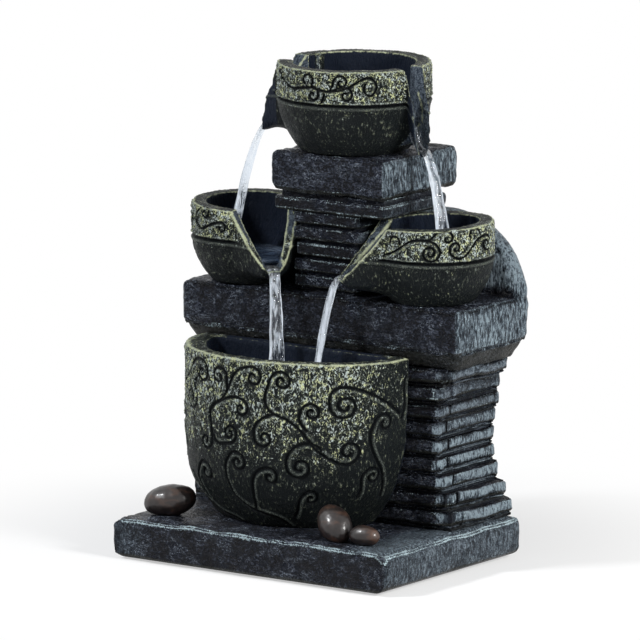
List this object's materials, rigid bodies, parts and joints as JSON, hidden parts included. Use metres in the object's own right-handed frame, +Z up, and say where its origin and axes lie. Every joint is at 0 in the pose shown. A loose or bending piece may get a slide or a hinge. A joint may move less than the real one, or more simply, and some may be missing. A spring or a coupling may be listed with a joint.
{
  "type": "tabletop water fountain",
  "caption": "Tabletop fountain in cast stone resin: slate tower with tiered bowls that spill into a carved basin, and a hidden pump behind an access cover.",
  "frame": {"origin": "on the surface that the fountain stands on, under the middle of its bounding box", "axes": "+Z up, +X to the right as seen from the front, -Y towards the viewer: the basin is at the front and the access cover at the back"},
  "size_m": [0.201, 0.1536, 0.2898],
  "materials": {
    "slate_resin": "coursed slate texture, near black with blue-grey dry-brushed edges, satin, wet look",
    "bowl_resin": "pitted near-black casting with olive-gold dry-brushing and carved scrolls, satin",
    "pebble": "water-worn and polished, brown",
    "soft_rubber": "moulded, matte",
    "clear_tube": "clear extruded tube",
    "pump_plastic": "moulded, fine spark texture",
    "slider_plastic": "moulded, satin",
    "ferrite": "overmoulded ferrite magnet and blades",
    "shaft_ceramic": "ground"
  },
  "bodies": {
    "fountain": {"base_slab": "slate_resin", "lower_tower": "slate_resin", "shoulder_rock": "slate_resin", "upper_tower": "slate_resin", "cap_block": "slate_resin", "basin": "bowl_resin", "left_bowl": "bowl_resin", "right_bowl": "bowl_resin", "top_bowl": "bowl_resin", "pebble_left": "pebble", "pebble_front": "pebble", "pebble_small": "pebble", "cord_gland": "soft_rubber", "foot_front_left": "soft_rubber", "foot_front_right": "soft_rubber", "foot_back_left": "soft_rubber", "foot_back_right": "soft_rubber", "suction_cup_front_left": "soft_rubber", "suction_cup_front_right": "soft_rubber", "suction_cup_back_left": "soft_rubber", "suction_cup_back_right": "soft_rubber", "riser_tube": "clear_tube", "outlet_nozzle": "pump_plastic", "pump_housing": "pump_plastic", "pump_volute": "pump_plastic", "pump_shaft": "shaft_ceramic"},
    "hatch": {"access_cover": "slate_resin"},
    "impeller": {"pump_impeller": "ferrite"},
    "intake": {"pump_intake_cover": "pump_plastic"},
    "flow_control": {"pump_flow_slider": "slider_plastic"}
  },
  "joints": [
    {"name": "hatch_pull", "type": "slide", "parent": "fountain", "child": "hatch", "axis": [0, 1, 0], "range_m": [0, 0.055]},
    {"name": "impeller_spin", "type": "hinge", "parent": "fountain", "child": "impeller", "pos_m": [-0.006, 0.03125, 0.0515], "axis": [1, 0, 0], "continuous": true},
    {"name": "intake_pull", "type": "slide", "parent": "fountain", "child": "intake", "axis": [1, 0, 0], "range_m": [0, 0.016]},
    {"name": "flow_slide", "type": "slide", "parent": "intake", "child": "flow_control", "axis": [0, 1, 0], "range_m": [0, 0.007]}
  ]
}
